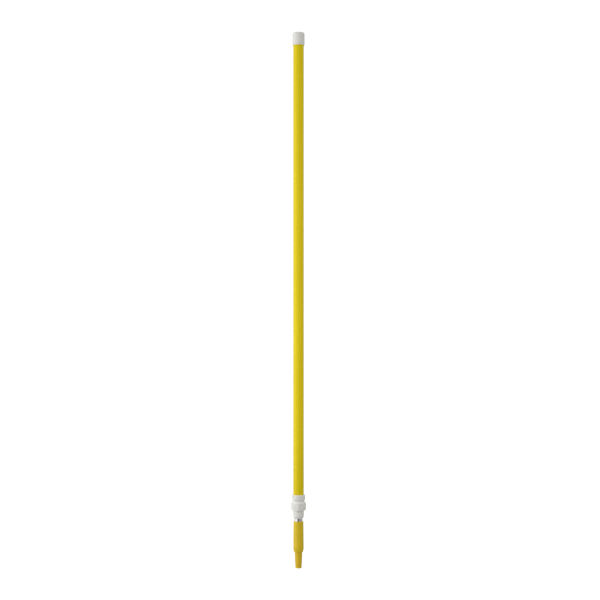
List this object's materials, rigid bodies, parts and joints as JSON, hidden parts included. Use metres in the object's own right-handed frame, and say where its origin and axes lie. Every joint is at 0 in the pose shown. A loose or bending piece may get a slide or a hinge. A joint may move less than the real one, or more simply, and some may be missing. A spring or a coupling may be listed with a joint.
{
  "type": "telescopic tool pole",
  "caption": "Telescopic extension pole with a twist-lock collar, a keyed inner tube and a tapered push-fit spigot for a paint roller or brush head.",
  "frame": {"origin": "centre of the spigot's tip, which is the lowest point of the pole", "axes": "+Z along the pole from the tool end to the cap; -Y is the front, where the inner tube's groove and one corner of the nut's grip face"},
  "size_m": [0.045, 0.045, 1.575],
  "materials": {
    "yellow_plastic": "moulded yellow polypropylene, satin",
    "yellow_sheath": "extruded yellow polypropylene skin, satin with faint draw lines",
    "white_plastic": "moulded white polypropylene, fine satin texture",
    "bare_aluminium": "drawn and anodised, with fine lines along the tube",
    "steel": "plain stainless steel",
    "acetal": "natural acetal",
    "wear_ring": "filled low-friction plastic",
    "rubber": "matt black rubber"
  },
  "bodies": {
    "inner_pole": {"tool_connector": "yellow_plastic", "connector_pins": "steel", "core_plug": "acetal", "inner_tube": "bare_aluminium", "stop_bumper": "rubber", "stop_bush": "acetal", "stop_pin": "steel", "guide_ring_lower": "wear_ring", "guide_plug": "acetal", "guide_plug_pin": "steel", "guide_ring_upper": "wear_ring"},
    "outer_pole": {"outer_tube": "bare_aluminium", "colour_sheath": "yellow_sheath", "end_cap": "white_plastic", "cap_seal": "rubber", "collar_body": "white_plastic", "collar_screws": "steel", "collet": "acetal", "groove_key": "acetal"},
    "nut_carrier": {"retaining_ring": "steel"},
    "locking_nut": {"lock_nut": "white_plastic"}
  },
  "joints": [
    {"name": "extend", "type": "slide", "parent": "inner_pole", "child": "outer_pole", "axis": [0, 0, 1], "range_m": [0, 1.205]},
    {"name": "nut_advance", "type": "slide", "parent": "outer_pole", "child": "nut_carrier", "axis": [0, 0, 1], "range_m": [0, 0.002]},
    {"name": "nut_turn", "type": "hinge", "parent": "nut_carrier", "child": "locking_nut", "pos_m": [0, 0, 0.178], "axis": [0, 0, 1], "range_deg": [0, 180]}
  ],
  "couplings": [
    {"joint": "nut_advance", "follows": "nut_turn", "m_per_rad": 0.00063662}
  ]
}
